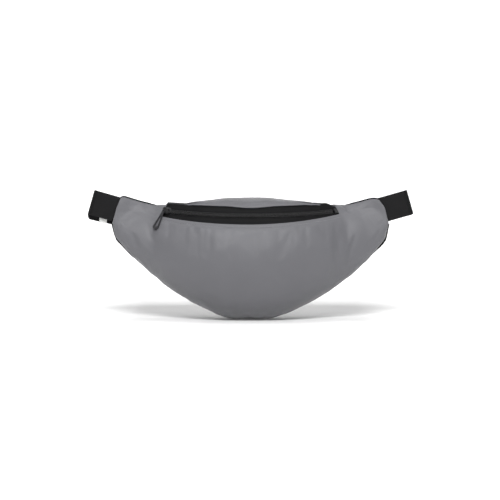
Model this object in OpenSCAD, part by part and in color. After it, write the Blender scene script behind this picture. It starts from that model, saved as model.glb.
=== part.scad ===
// Waist pack: a stuffed crescent bag with a curved zip, and a webbing belt closed by a side-release buckle.
// The bag stands on z = 0 with its front facing -Y. The belt runs behind it.

/* [Bag] */
// Half of the bag's length, from its middle to the lower corner of a wing
wing_x = 164; // [160:1:168]
// Height of the bag's crest
crest_z = 144.5; // [142.5:1:148.5]
// How far the bag's middle bulges forward before it is rounded off
bulge = 60.9; // [56:0.1:64]
// Thickness of the front and top fabric, with its coating and turned seams
fabric_t = 1.2; // [0.9:0.1:1.4]
// Thickness of the back fabric, with its backing
back_t = 2; // [1.5:0.1:2.5]

/* [Zip] */
// Half of the distance between the two ends of the zip
zip_half = 105; // [103:1:107]
// Half of the zip's width between the two fabric edges
tape_half = 13; // [12:0.5:13.5]
// Slope of the zip's face, from level
zip_slope = 48; // [46:1:50]

/* [Pull] */
// Length of the pull tab, from the ring's wire to its end
tab_length = 26; // [22:1:27]
// Width of the pull tab near its end
tab_w = 8; // [6:0.5:8]

/* [Belt] */
// Width of the webbing
strap_w = 30; // [28:1:30]
// Thickness of the webbing
strap_t = 1.4; // [1.2:0.1:1.4]
// Angle at which the webbing rises from a wing
strap_rise = 16; // [15:1:17]
// Distance from the middle of the bag to the fold of the webbing
fold_x = 190; // [187:1:192]
// Distance of the buckle behind the bag's own plane
belt_y = 49.5; // [46:0.5:52]
// Height of the buckle
belt_z = 118; // [114:1:122]

/* [Hidden] */
$fn = 48;

// Outline of the bag seen from the front
outline_h = crest_z - 42.8;
floor_sink = 3;
wing_end = 34;
wing_end_z = crest_z - 29.5;
corner_x = wing_x - 4.5;
corner_w = 0.759;
wing_top_x = wing_x - wing_end * sin(strap_rise);
valley_x = 112;
crest_rise = 8.7;
valley_z = crest_z - crest_rise;
wing_rise = 11.9;

// Depth of the seams: the wings end at tip_y and the middle lies further back
tip_y = -2;
bottom_back_y = 16;
top_back_y = 20;
front_gap = 2.3;
back_gap = 1.2;
binding_r = 1;
back_bulge = 5;

// The zip is an arc about a hinge line that leans forward
zip_end_y = -3;
zip_end_z = 129;
zip_mid_y = -31;
zip_mid_z = 124.5;
zip_drop = zip_end_z - zip_mid_z;
zip_reach = zip_end_y - zip_mid_y;
zip_lean = atan2(zip_drop, zip_reach);
zip_sag = norm([zip_drop, zip_reach]);
zip_r = (zip_half * zip_half + zip_sag * zip_sag) / (2 * zip_sag);
zip_angle = asin(zip_half / zip_r);
zip_tilt = zip_slope - zip_lean;
zip_front = [0, -cos(zip_lean), -sin(zip_lean)];
zip_axis = [0, -sin(zip_lean), cos(zip_lean)];
zip_centre = [0, zip_mid_y, zip_mid_z] - zip_r * zip_front;

// Cross-section of the chain: p runs up the face of the zip and q out of it
tape_t = 0.6;
tape_inner = 1;
coil_p = [0.45, 3.2];
coil_q = [0.4, 1.85];
slider_rest = -28.2;
plate_top = [2.05, 3];
bar_q = 6.6;
bar_half = 0.45;
ring_r = 2.15;
wire_r = 0.45;
ring_shift = 0.9;
ring_x = -1.4;
tab_t = 1;
tab_droop = 12;
tab_yaw = -7;

// Belt
fold_r = 6;
stub_inside = 13;
left_drop = 6;
right_drop = 1;
fold_turn = 152;
socket_x = -36;
mouth_x = 5;
plug_x = 27;
bar_r = 1.5;
strap_gap = 0.15;
left_straight = -62;
right_straight = 97;
tail_rows = 8;
keeper_x = 82;

function lerp(a, b, t) = a + (b - a) * t;
function unit(v) = v / norm(v);
function smooth(t) = let(s = max(0, min(1, t))) s * s * (3 - 2 * s);
function bezier(p, t) =
    pow(1 - t, 3) * p[0] + 3 * t * pow(1 - t, 2) * p[1] + 3 * t * t * (1 - t) * p[2] + pow(t, 3) * p[3];
function steps(n) = [for (i = [0:n]) i / n];

// ---- The bag's seams. u runs from -1 at the left wing to 1 at the right wing. ----

// The bottom rises to each wing's lower corner, and from there up the wing's end
function hammock_z(x) = max(0, outline_h * (1 - pow(1 - pow(x / (corner_x + 0.5), 1.7), 0.95)) - floor_sink);
function bottom_z(x) =
    abs(x) < corner_x
        ? hammock_z(abs(x))
        : lerp(hammock_z(corner_x), wing_end_z, pow((abs(x) - corner_x) / (wing_x - corner_x), 1.3));
function top_z(x) =
    abs(x) < valley_x
        ? valley_z + crest_rise * (1 + cos(180 * x / valley_x)) / 2
        : valley_z + wing_rise * pow((abs(x) - valley_x) / (wing_top_x - valley_x), 1.3);
function seam_y(u, middle) = lerp(middle, tip_y, u * u);
// Points along the bottom seam gather up the wing's end once they have passed its lower corner
function seam_x(u) =
    let(
        start = lip_u * wing_x,
        w = (abs(u) - lip_u) / (1 - lip_u),
        s = w / corner_w,
        pace = (wing_x - start) * corner_w / (corner_x - start)
    )
    w <= 0 ? wing_x * u : sign(u) * (
        s < 1 ? lerp(start, corner_x, s * (pace + (1 - pace) * s)) : lerp(corner_x, wing_x, (w - corner_w) / (1 - corner_w))
    );
function bottom_seam(u) = [seam_x(u), seam_y(u, bottom_back_y), bottom_z(seam_x(u))];
function top_seam(u) = [wing_top_x * u, seam_y(u, top_back_y), top_z(wing_top_x * u)];

// ---- The zip's face: p up the face, q out of it, at an angle along the arc ----

function zip_radial(a) = cos(a) * zip_front + [sin(a), 0, 0];
function zip_up(a) = -cos(zip_tilt) * zip_radial(a) + sin(zip_tilt) * zip_axis;
function zip_out(a) = sin(zip_tilt) * zip_radial(a) + cos(zip_tilt) * zip_axis;
function zip_point(a, p) = zip_centre + zip_r * zip_radial(a) + p * zip_up(a);
// How far each lip lies from the middle of the zip. The lower lip hangs in a bow. The upper one is nearly
// straight, dips in the middle and closes at the right end.
function lower_half(a) =
    let(t = abs(a) / zip_angle)
    tape_half + 1.6 - (a < 0 ? 5.6 * pow(t, 2.2) : 9.2 * pow(t, 1.7));
function upper_half(a) =
    let(t = abs(a) / zip_angle)
    tape_half + 1.3 - 2.2 * pow(max(0, 1 - pow(t / 0.3, 2)), 2)
        - (a < 0 ? 2.2 * pow(t, 2.5) : pow(t, 3) + 6.5 * smooth((t - 0.87) / 0.12));
function lip_half(a, side) = side < 0 ? lower_half(a) : upper_half(a);
lip_end = zip_angle - 0.5;
lip_u = 0.68;
lip_q = 0.75 + fabric_t;
function lip(a, side) =
    zip_point(a, side * lip_half(a, side)) + lip_q * zip_out(a);

// ---- Front panel: each column rises from the bottom seam to the zip's lip; on a wing it goes on to the top seam ----

top_u = 98.5 / wing_top_x;
base_sink = 12;
wing_rows = 4;
rows = 18;
function depth(u) = 3 + (bulge - 3) * pow(max(0, 1 - pow(abs(u), 2.2)), 0.8);
function to_zip(u) = abs(u) <= lip_u;
function wing_part(u) = (abs(u) - lip_u) / (1 - lip_u);
function wing_seam(u) = top_seam(sign(u) * lerp(top_u, 1, wing_part(u))) - [0, front_gap, 0];
function wing_corner(side) = lerp(bottom_seam(side), top_seam(side), 0.6) - [0, front_gap + 1, 0];
function crest(u) =
    to_zip(u)
        ? lip(lip_end * u / lip_u, -1)
        : let(
            start = lip(sign(u) * lip_end, -1),
            along = [sign(u) * cos(lip_end), sin(lip_end) * cos(zip_lean), sin(lip_end) * sin(zip_lean)],
            end = wing_corner(sign(u))
        )
        bezier([start, start + 12 * along, lerp(end, start + 18 * along, 0.5), end], wing_part(u));
function crest_up(u) =
    to_zip(u)
        ? zip_up(lip_end * u / lip_u)
        : unit(lerp(zip_up(sign(u) * lip_end), wing_seam(u) - crest(u), smooth(wing_part(u) * 2.5)));
function front_curve(u) =
    let(
        start = bottom_seam(u) - [0, front_gap, 0],
        end = crest(u)
    )
    [start, start - [0, 1, base_sink / bulge] * depth(u), end - 44 * crest_up(u) * depth(u) / bulge, end];
function wing_curve(u) =
    let(
        start = crest(u),
        end = wing_seam(u),
        middle = start + 0.55 * norm(end - start) * crest_up(u)
    )
    [start, lerp(start, middle, 2 / 3), lerp(end, middle, 2 / 3), end];
function front_at(u, j) =
    let(
        t = to_zip(u)
            ? (j <= rows ? 0.96 * j / rows : 0.96 + 0.04 * (j - rows) / wing_rows)
            : (j <= rows ? j / rows : (j - rows) / wing_rows),
        p = bezier(to_zip(u) || j <= rows ? front_curve(u) : wing_curve(u), t)
    )
    [p[0], p[1], max(0, p[2])];

// ---- Top panel: from the zip's upper edge back to the top seam ----

function top_at(u, v) =
    let(
        a = (lip_end - 0.1) * u,
        start = lip(a, 1),
        end = top_seam((top_u - 0.004) * u) - [0, front_gap, 0],
        reach = (end[1] - start[1]) / 2.5
    )
    bezier([start, start + zip_up(a) * reach * 0.8, end - [0, reach, 0], end], v);

// ---- Back panel: a shallow dome behind the seams, a little larger than the front on the wings ----

function peek(u) = 1.4 * smooth((abs(u) - 0.45) / 0.2);
function back_at(u, v) =
    let(
        low = bottom_seam(u) + [0, back_gap, -min(peek(u), bottom_seam(u)[2])],
        high = top_seam(u) + [0, back_gap, peek(u) * (abs(u) > 0.7 ? 1 : 0)]
    )
    lerp(low, high, v) + [0, back_bulge * (1 - u * u) * sin(180 * v), 0];

// ---- Closed solids from grids of points ----

function grid_faces(n, m, first, flip) = [
    for (i = [0:n - 1], j = [0:m - 1])
        let(
            a = first + i * (m + 1) + j,
            b = a + m + 1
        )
        each flip ? [[a, b, b + 1], [a, b + 1, a + 1]] : [[a, b + 1, b], [a, a + 1, b + 1]]
];
function rim(n, m) = concat(
    [for (j = [0:m - 1]) j],
    [for (i = [0:n - 1]) i * (m + 1) + m],
    [for (j = [m:-1:1]) n * (m + 1) + j],
    [for (i = [n:-1:1]) i * (m + 1)]
);

// A sheet of thickness t whose other side lies along dir of each point, or along its own normal
module sheet(outer, inner) {
    n = len(outer) - 1;
    m = len(outer[0]) - 1;
    half = (n + 1) * (m + 1);
    edge = rim(n, m);
    count = len(edge);
    polyhedron(
        points = concat(
            [for (i = [0:n], j = [0:m]) outer[i][j]],
            [for (i = [0:n], j = [0:m]) inner[i][j]]
        ),
        faces = concat(
            grid_faces(n, m, 0, false),
            grid_faces(n, m, half, true),
            [
                for (k = [0:count - 1])
                    let(
                        a = edge[k],
                        b = edge[(k + 1) % count]
                    )
                    each [[b, a, a + half], [b, a + half, b + half]]
            ]
        )
    );
}

function normal_in(before, after, below, above) = unit(cross(above - below, after - before));
function inner_grid(grid, t) =
    let(
        n = len(grid) - 1,
        m = len(grid[0]) - 1
    )
    [
        for (i = [0:n]) [
            for (j = [0:m])
                grid[i][j] + t * normal_in(
                    grid[max(0, i - 1)][j], grid[min(n, i + 1)][j],
                    grid[i][max(0, j - 1)], grid[i][min(m, j + 1)]
                )
        ]
    ];

// ---- Webbing: a ribbon swept along points, each with the direction of its width ----

// Tangent of a path at point i
function tangent(path, i) = unit(path[min(len(path) - 1, i + 1)] - path[max(0, i - 1)]);
module ribbon(path, widths, w, t) {
    n = len(path) - 1;
    polyhedron(
        points = [
            for (i = [0:n])
                let(
                    side = widths[i] * w / 2,
                    out = unit(cross(tangent(path, i), widths[i])) * t / 2
                )
                each [path[i] - side - out, path[i] + side - out, path[i] + side + out, path[i] - side + out]
        ],
        faces = concat(
            [[3, 2, 1], [3, 1, 0]],
            [[4 * n, 4 * n + 1, 4 * n + 2], [4 * n, 4 * n + 2, 4 * n + 3]],
            [
                for (i = [0:n - 1], k = [0:3])
                    let(
                        a = 4 * i + k,
                        b = 4 * i + (k + 1) % 4
                    )
                    each [[a, b, b + 4], [a, b + 4, a + 4]]
            ]
        )
    );
}

// Directions on the left side; side = 1 mirrors them to the right
function wing_out(side) = [side * cos(strap_rise), 0, sin(strap_rise)];
function wing_width(side) = [-side * sin(strap_rise), 0, cos(strap_rise)];
function wing_mid(side) =
    [side * (wing_x + wing_top_x) / 2, tip_y, (bottom_z(wing_x) + top_z(wing_top_x)) / 2];
function fold_reach(side) = (fold_x + 0.14 * side - strap_t / 2 - wing_mid(1)[0]) / cos(strap_rise) - fold_r;

// From inside the wing, out to the fold, and round it
function stub_at(side, s) =
    let(p = wing_mid(side) + s * wing_out(side))
    [p[0], seam_y(min(1, abs(p[0] / wing_mid(1)[0])), (bottom_back_y + top_back_y) / 2), p[2]];
function stub_path(side, drop) = concat(
    [for (s = [-stub_inside, -stub_inside / 2, 0, fold_reach(side) / 2]) stub_at(side, s)],
    [
        for (k = [0:12])
            let(
                a = fold_turn * k / 12,
                centre = wing_mid(side) + fold_reach(side) * wing_out(side) + [0, fold_r, 0]
            )
            centre + fold_r * (sin(a) * wing_out(side) - [0, cos(a), 0]) - drop * smooth(k / 6 - 1) * wing_width(side)
    ]
);
// From the fold to the straight run at the buckle
function run_path(side, drop, end) =
    let(
        start = stub_path(side, drop)[16],
        dir = cos(fold_turn) * wing_out(side) + [0, sin(fold_turn), 0],
        reach = norm(end - start) / 2.6
    )
    [for (k = [1:16]) bezier([start, start + dir * reach, end + [side * reach, 0, 0], end], k / 16)];
function run_width(path, i, side) =
    let(t = tangent(path, i))
    i < 17 ? wing_width(side) : unit([side * t[2], 0, -side * t[0]]);
function strap_path(side, drop, end) = concat(stub_path(side, drop), run_path(side, drop, end));

// Points on an arc in the belt's own x-y plane
function belt_arc(cx, cy, r, from, to, n) =
    [for (k = [0:n]) let(a = lerp(from, to, k / n)) [cx + r * cos(a), belt_y + cy + r * sin(a), belt_z]];

socket_bar_x = socket_x + bar_r;
loop_r = bar_r + strap_gap + strap_t / 2;
layer = (strap_t + strap_gap) / 2;
function left_loop() = concat(
    [
        [socket_bar_x - 9, belt_y - layer, belt_z],
        [socket_bar_x - 4, belt_y - loop_r, belt_z]
    ],
    belt_arc(socket_bar_x, 0, loop_r, -90, 90, 8),
    [
        [socket_bar_x - 4, belt_y + loop_r, belt_z],
        [socket_bar_x - 9, belt_y + layer, belt_z],
        [left_straight + 2, belt_y + layer, belt_z]
    ]
);

middle_bar_x = 17.5;
end_bar_x = plug_x - bar_r;
tail_y = -loop_r;
load_y = tail_y - 2 * layer;
function right_run() = strap_path(1, right_drop, [right_straight, belt_y + load_y, belt_z]);
// In under the end bar, over the middle bar, out under the end bar again
function right_threading() = concat(
    [[end_bar_x, belt_y + load_y, belt_z], [middle_bar_x, belt_y + load_y, belt_z]],
    belt_arc(middle_bar_x, load_y + loop_r, loop_r, -110, -180, 4),
    belt_arc(middle_bar_x, 0, loop_r, 180, 0, 8),
    belt_arc(middle_bar_x + 2 * loop_r + 0.4, tail_y + 1.2, 1.2, 205, 270, 3),
    [[end_bar_x + 4, belt_y + tail_y, belt_z]]
);
// The free end lies on the back of the belt and follows it
function right_tail() =
    let(
        run = right_run(),
        last = len(run) - 1
    )
    [
        for (i = [last:-1:last - tail_rows])
            run[i] + 2 * layer * (i == last ? [0, 1, 0] : unit(cross(tangent(run, i), run_width(run, i, 1))))
    ];

// ---- Places on the slider: x along the chain, y up the zip's face, z out of it ----

module at_zip(a) {
    translate(zip_centre)
        rotate([zip_lean, 0, 0])
            rotate([0, 0, a])
                translate([0, -zip_r, 0])
                    rotate([zip_tilt, 0, 0])
                        children();
}
module zip_sweep(from, to) {
    translate(zip_centre)
        rotate([zip_lean, 0, 0])
            rotate([0, 0, from - 90])
                rotate_extrude(angle = to - from, $fn = 180)
                    translate([zip_r, 0])
                        rotate(180 - zip_tilt)
                            mirror([0, 1])
                                children();
}
module coil_section(side) {
    translate([side > 0 ? coil_p[0] : -coil_p[1], coil_q[0]])
        square([coil_p[1] - coil_p[0], coil_q[1] - coil_q[0]]);
}
// A rectangle with rounded corners, as one outline
function round_rect(w, h, r, n = 6) = [
    for (c = [[1, 1, 0], [-1, 1, 90], [-1, -1, 180], [1, -1, 270]], k = [0:n])
        [c[0] * (w / 2 - r) + r * cos(c[2] + 90 * k / n), c[1] * (h / 2 - r) + r * sin(c[2] + 90 * k / n)]
];

// ---- The bag ----

// Columns of a panel: n even steps below the zip and 8 on each wing, one of them at the wing's lower corner
function columns(n) =
    let(wing = [for (k = [0:8]) lerp(lip_u + 0.012, 1, k / 8)])
    concat([for (k = [8:-1:0]) -wing[k]], [for (k = [0:n]) lip_u * (2 * k / n - 1)], wing);
module front_panel() {
    us = columns(28);
    outer = [for (u = us) [for (j = [0:rows + wing_rows]) front_at(u, j)]];
    color("#7a7a7f") sheet(outer, inner_grid(outer, fabric_t));
}
module top_panel() {
    us = [for (t = steps(28)) lerp(-1, 1, t)];
    vs = steps(6);
    outer = [for (u = us) [for (v = vs) top_at(u, v)]];
    color("#8a8b8e") sheet(outer, inner_grid(outer, fabric_t));
}
module back_panel() {
    us = columns(20);
    vs = steps(10);
    near = [for (u = us) [for (v = vs) back_at(u, v)]];
    far = [for (row = near) [for (p = row) p + [0, back_t, 0]]];
    color("#222225") sheet(near, far);
}
// Bound edge between the front and back panels, along the bottom and along the top of each wing
module edge_binding() {
    bottom = [for (t = steps(84)) let(u = lerp(-0.985, 0.985, t)) bottom_seam(u)];
    color("#1b1b1d") {
        binding_tube([for (p = bottom) p + [0, 0.05, binding_r - 0.6 * min(1, p[2] / 20)]]);
        for (side = [-1, 1])
            binding_tube([
                for (t = steps(12))
                    top_seam(side * lerp(0.745, 0.985, t)) + [0, 0.05, 0]
            ]);
    }
}
module binding_tube(path) {
    n = len(path) - 1;
    sides = 8;
    polyhedron(
        points = [
            for (i = [0:n], k = [0:sides - 1])
                let(
                    t = tangent(path, i),
                    out = unit(cross(t, [0, 1, 0])),
                    a = 360 * k / sides
                )
                path[i] + binding_r * (cos(a) * out + sin(a) * unit(cross(out, t)))
        ],
        faces = concat(
            [[for (k = [0:sides - 1]) k]],
            [[for (k = [sides - 1:-1:0]) n * sides + k]],
            [
                for (i = [0:n - 1], k = [0:sides - 1])
                    let(
                        a = i * sides + k,
                        b = i * sides + (k + 1) % sides
                    )
                    each [[a, b + sides, b], [a, a + sides, b + sides]]
            ]
        )
    );
}
module care_label() {
    color("#e8e8e6")
        translate([-175.5, tip_y + 4, 116])
            rotate([90, 0, 0])
                linear_extrude(0.6)
                    polygon([[-4.5, 0], [4.5, -1.5], [5.5, 12], [-3.5, 13]]);
}

// ---- The zip ----

// The tape narrows with the opening between the lips
module zip_tape(side) {
    angles = [for (t = steps(64)) (lip_end - 0.15) * (2 * t - 1)];
    function across(a) = side < 0 ? [0.4 - lower_half(a), -tape_inner] : [tape_inner, upper_half(a) - 0.4];
    function face(q) = [
        for (a = angles) [for (k = [0:3]) zip_point(a, lerp(across(a)[0], across(a)[1], k / 3)) + q * zip_out(a)]
    ];
    color("#1c1c1f") sheet(face(tape_t / 2), face(-tape_t / 2));
}
module zip_coil(side) {
    color("#2c2c30") zip_sweep(-zip_angle + 1.5, zip_angle - 2.6) coil_section(side);
}
module zip_stop(side) {
    color("#38383c")
        zip_sweep(-zip_angle + 0.7, -zip_angle + 1.4)
            translate([side > 0 ? 0.5 : -3.2, coil_q[0]])
                square([2.7, 1.3]);
}
module zip_end_stop() {
    color("#38383c")
        zip_sweep(zip_angle - 1.85, zip_angle - 0.7)
            translate([-3.4, coil_q[0]])
                square([6.8, 1.6]);
}
// Two plates joined by a thin web between the chain's halves, with flanges that hold the coil in
module slider_body() {
    outline = [
        [-5.5, -3.2], [-4.6, -4.6], [-2, -4.9], [3.6, -4.2], [5.5, -2.6],
        [5.5, 2.6], [3.6, 4.2], [-2, 4.9], [-4.6, 4.6], [-5.5, 3.2]
    ];
    color("#303034") at_zip(slider_rest) {
        translate([0, 0, plate_top[0]]) linear_extrude(plate_top[1] - plate_top[0]) polygon(outline);
        translate([0, 0, -1.6]) linear_extrude(1) polygon(outline);
        translate([-4.9, -0.25, -1.2]) cube([2.6, 0.5, 3.6]);
        for (side = [-1, 1])
            translate([-2.6, side > 0 ? 3.5 : -4.3, 0.7]) cube([6, 0.8, 1.6]);
    }
}
// Arch over the top plate that the pull's ring hangs on
module slider_crown() {
    color("#303034") at_zip(slider_rest)
        translate([0, 0.6, 0])
            rotate([90, 0, 0])
                linear_extrude(1.2)
                    difference() {
                        polygon([
                            [-4.4, plate_top[1] + 0.02], [-3.6, bar_q - 0.1], [-2.6, bar_q + bar_half],
                            [2.6, bar_q + bar_half], [3.6, bar_q - 0.1], [4.4, plate_top[1] + 0.02]
                        ]);
                        polygon([
                            [-2.9, plate_top[1] - 0.2], [-2.5, bar_q - bar_half - 0.4], [-2, bar_q - bar_half],
                            [2, bar_q - bar_half], [2.5, bar_q - bar_half - 0.4], [2.9, plate_top[1] - 0.2]
                        ]);
                    }
}
// Frame whose x runs along the chain, with -y down the hanging pull, at the crown's bar
module at_bar() {
    at_zip(slider_rest) translate([ring_x, 0, bar_q]) rotate([tab_droop, 0, 0]) children();
}
module pull_ring() {
    color("#3a3a3e") at_bar()
        translate([0, -ring_shift, 0])
            rotate([0, 90, 0])
                rotate_extrude() translate([ring_r, 0]) circle(wire_r, $fn = 24);
}
module pull_tab() {
    head = 1.75;
    side = [[0, head], [-4, 1.7], [-9, 2.1], [-15, 3], [-tab_length + 3.4, tab_w / 2]];
    end = [for (k = [0:8]) let(a = 180 * k / 8) [tab_w / 2 * cos(a), -tab_length + 3.4 - 3.4 * sin(a)]];
    slot = [for (c = [[-9.5, 0], [-20.4, 180]], k = [0:6])
        let(
            a = c[1] + 180 * k / 6,
            r = c[1] == 0 ? 0.9 : 1.9
        )
        [r * cos(a), -tab_length + 26 + c[0] + r * sin(a)]];
    color("#35353a") at_bar()
        translate([0, -ring_shift - ring_r, 0])
            rotate([0, 0, tab_yaw])
                translate([0, 0, -tab_t / 2])
                    difference() {
                        union() {
                            cylinder(r = head, h = tab_t);
                            linear_extrude(tab_t)
                                polygon(concat(
                                    [for (p = side) [p[1], p[0]]],
                                    end,
                                    [for (k = [len(side) - 1:-1:0]) [-side[k][1], side[k][0]]]
                                ));
                        }
                        translate([0, 0, -1]) cylinder(r = 1, h = tab_t + 2);
                        translate([0, 0, -1]) linear_extrude(tab_t + 2) polygon(slot);
                    }
}

// ---- The belt ----

module strap_left() {
    path = concat(
        strap_path(-1, left_drop, [left_straight, belt_y - layer, belt_z]),
        left_loop()
    );
    widths = [for (i = [0:len(path) - 1]) i < 33 ? run_width(path, i, -1) : [0, 0, 1]];
    color("#1f1f22") ribbon(path, widths, strap_w, strap_t);
}
module strap_right() {
    run = right_run();
    last = len(run) - 1;
    path = concat(run, right_threading(), right_tail());
    widths = concat(
        [for (i = [0:last]) run_width(run, i, 1)],
        [for (p = right_threading()) [0, 0, 1]],
        [for (i = [last:-1:last - tail_rows]) i == last ? [0, 0, 1] : run_width(run, i, 1)]
    );
    color("#1f1f22") ribbon(path, widths, strap_w, strap_t);
}
// Loop that holds the webbing's free end against the belt
module strap_keeper() {
    inner_y = 4 * layer + 1.2;
    color("#262629")
        translate([keeper_x, belt_y + (tail_y + load_y) / 2, belt_z])
            rotate([0, 90, 0])
                difference() {
                    linear_extrude(9, center = true) polygon(round_rect(strap_w + 5, inner_y + 3, 1.6));
                    linear_extrude(20, center = true) polygon(round_rect(strap_w + 1.6, inner_y, 0.6));
                }
}
buckle_h = 42;
// Half of the buckle's outline in x and z, as a prism through its thickness
module buckle_prism(outline, t) {
    translate([0, belt_y, belt_z])
        rotate([90, 0, 0])
            linear_extrude(t, center = true) polygon(outline);
}
module belt_bar(x) {
    translate([x, belt_y, belt_z - 17.5]) cylinder(r = bar_r, h = 35);
}
module buckle_socket() {
    shell_x = -29;
    color("#1a1a1c") {
        difference() {
            buckle_prism(
                [
                    [shell_x + 4, -buckle_h / 2], [mouth_x - 1.5, -buckle_h / 2 + 1], [mouth_x, -buckle_h / 2 + 3],
                    [mouth_x - 2.5, -6], [mouth_x - 3.2, 0], [mouth_x - 2.5, 6],
                    [mouth_x, buckle_h / 2 - 3], [mouth_x - 1.5, buckle_h / 2 - 1], [shell_x + 4, buckle_h / 2],
                    [shell_x + 1, buckle_h / 2 - 1.5], [shell_x, buckle_h / 2 - 4],
                    [shell_x, -buckle_h / 2 + 4], [shell_x + 1, -buckle_h / 2 + 1.5]
                ],
                10
            );
            translate([-26, belt_y - 3.2, belt_z - 17.6]) cube([40, 6.4, 35.2]);
            for (side = [-1, 1])
                translate([-20.5, belt_y - 3.2, belt_z + side * 20 - 6]) cube([12, 6.4, 12]);
        }
        for (side = [-1, 1])
            translate([socket_x - 0.5, belt_y - 2, belt_z + side * 18.2 - 1.8]) cube([9, 4, 3.6]);
        belt_bar(socket_bar_x);
    }
}
module buckle_plug() {
    root_x = mouth_x + 0.7;
    color("#1a1a1c") {
        buckle_prism(
            [
                [root_x, -17], [root_x + 1.5, -buckle_h / 2], [13, -buckle_h / 2 + 0.8],
                [13, buckle_h / 2 - 0.8], [root_x + 1.5, buckle_h / 2], [root_x, 17]
            ],
            6
        );
        translate([-23, belt_y - 2.4, belt_z - 3]) cube([30, 4.8, 6]);
        for (side = [-1, 1])
            translate([12, belt_y - 2, belt_z + side * 18.2 - 1.8]) cube([plug_x - 12, 4, 3.6]);
        belt_bar(middle_bar_x);
        belt_bar(end_bar_x);
    }
}
// Spring arm with a catch that stands in the socket's side window
module buckle_prong(side) {
    color("#1f1f21")
        buckle_prism(
            [
                for (p = [
                    [4.9, 12], [4.9, 15], [-8.9, 15.6], [-9.1, 20], [-13, 20.3],
                    [-20, 17], [-22.8, 14.5], [-21, 12.6], [-12, 13.2]
                ])
                    [p[0], side * p[1]]
            ],
            5.4
        );
}

front_panel();
top_panel();
back_panel();
edge_binding();
zip_tape(-1);  // zip_tape_lower
zip_tape(1);  // zip_tape_upper
zip_coil(-1);  // zip_coil_lower
zip_coil(1);  // zip_coil_upper
zip_stop(-1);  // zip_stop_lower
zip_stop(1);  // zip_stop_upper
zip_end_stop();
slider_body();
slider_crown();
pull_ring();
pull_tab();
strap_left();
strap_right();
buckle_socket();
buckle_plug();
buckle_prong(1);  // buckle_prong_upper
buckle_prong(-1);  // buckle_prong_lower
strap_keeper();
care_label();
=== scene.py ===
# Waist pack: stuffed grey crescent bag, black zip, webbing belt with a side-release buckle.
import math

import bmesh
import bpy
import numpy as np
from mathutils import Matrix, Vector, noise


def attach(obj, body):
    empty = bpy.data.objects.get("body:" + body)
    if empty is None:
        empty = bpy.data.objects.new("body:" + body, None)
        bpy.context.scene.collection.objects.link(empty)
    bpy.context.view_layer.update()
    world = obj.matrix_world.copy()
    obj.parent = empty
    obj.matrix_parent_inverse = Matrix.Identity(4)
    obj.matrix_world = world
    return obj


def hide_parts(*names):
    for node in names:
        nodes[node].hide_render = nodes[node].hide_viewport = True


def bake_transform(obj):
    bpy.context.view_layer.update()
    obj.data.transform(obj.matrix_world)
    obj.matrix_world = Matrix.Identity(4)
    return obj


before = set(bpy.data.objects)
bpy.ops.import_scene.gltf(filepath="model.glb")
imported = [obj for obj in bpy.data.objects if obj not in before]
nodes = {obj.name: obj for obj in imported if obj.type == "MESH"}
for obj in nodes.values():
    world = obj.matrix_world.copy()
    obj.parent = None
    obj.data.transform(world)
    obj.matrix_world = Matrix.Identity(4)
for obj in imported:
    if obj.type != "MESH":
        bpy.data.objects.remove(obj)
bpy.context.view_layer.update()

MM = 0.001

# -------------------- camera

scene = bpy.context.scene


def look(obj, target):
    obj.rotation_euler = (Vector(target) - obj.location).to_track_quat("-Z", "Y").to_euler()


cam_data = bpy.data.cameras.new("Camera")
cam_data.sensor_width = 36
cam_data.lens = 152.5
camera = bpy.data.objects.new("Camera", cam_data)
scene.collection.objects.link(camera)
ELEVATION = math.radians(3.5)
CAMERA_DISTANCE = 2.5
AIM = Vector((-0.0006, -0.02, 0.084))
camera.location = AIM + CAMERA_DISTANCE * Vector((0, -math.cos(ELEVATION), math.sin(ELEVATION)))
look(camera, AIM)
scene.camera = camera

# -------------------- materials


def node_material(name):
    mat = bpy.data.materials.new(name)
    mat.use_nodes = True
    tree = mat.node_tree
    bsdf = tree.nodes["Principled BSDF"]
    return mat, tree, bsdf


def add(tree, kind, **values):
    n = tree.nodes.new(kind)
    for key, value in values.items():
        if hasattr(n, key):
            setattr(n, key, value)
        else:
            n.inputs[key].default_value = value
    return n


def math_node(tree, op, a, b=None, c=None):
    n = tree.nodes.new("ShaderNodeMath")
    n.operation = op
    for socket, value in zip(n.inputs, (a, b, c)):
        if value is None:
            continue
        if isinstance(value, (int, float)):
            socket.default_value = value
        else:
            tree.links.new(value, socket)
    return n.outputs[0]


def ramp(tree, value, stops):
    n = tree.nodes.new("ShaderNodeValToRGB")
    while len(n.color_ramp.elements) < len(stops):
        n.color_ramp.elements.new(0.5)
    for e, (pos, col) in zip(n.color_ramp.elements, stops):
        e.position = pos
        e.color = (*col, 1)
    tree.links.new(value, n.inputs["Fac"])
    return n.outputs["Color"]


def uv_mm(tree, scale_u, scale_v):
    """The piece's own uv map, which is in millimetres, scaled along the two woven directions."""
    uv = add(tree, "ShaderNodeUVMap", uv_map="weave")
    sep = tree.nodes.new("ShaderNodeSeparateXYZ")
    tree.links.new(uv.outputs["UV"], sep.inputs[0])
    u = math_node(tree, "MULTIPLY", sep.outputs["X"], scale_u)
    v = math_node(tree, "MULTIPLY", sep.outputs["Y"], scale_v)
    return u, v


def plain_weave(tree, pitch_u, pitch_v):
    """Height of a plain weave, 0 to 1: warp and weft threads that pass over each other in turn."""
    u, v = uv_mm(tree, math.pi / pitch_u, math.pi / pitch_v)
    warp = math_node(tree, "ABSOLUTE", math_node(tree, "SINE", u))
    weft = math_node(tree, "ABSOLUTE", math_node(tree, "SINE", v))
    turn = math_node(tree, "MULTIPLY", math_node(tree, "SINE", u), math_node(tree, "SINE", v))
    over = math_node(tree, "MULTIPLY_ADD", turn, 0.5, 0.5)
    a = math_node(tree, "MULTIPLY", warp, over)
    b = math_node(tree, "MULTIPLY", weft, math_node(tree, "SUBTRACT", 1.0, over))
    return math_node(tree, "ADD", a, b)


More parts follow.
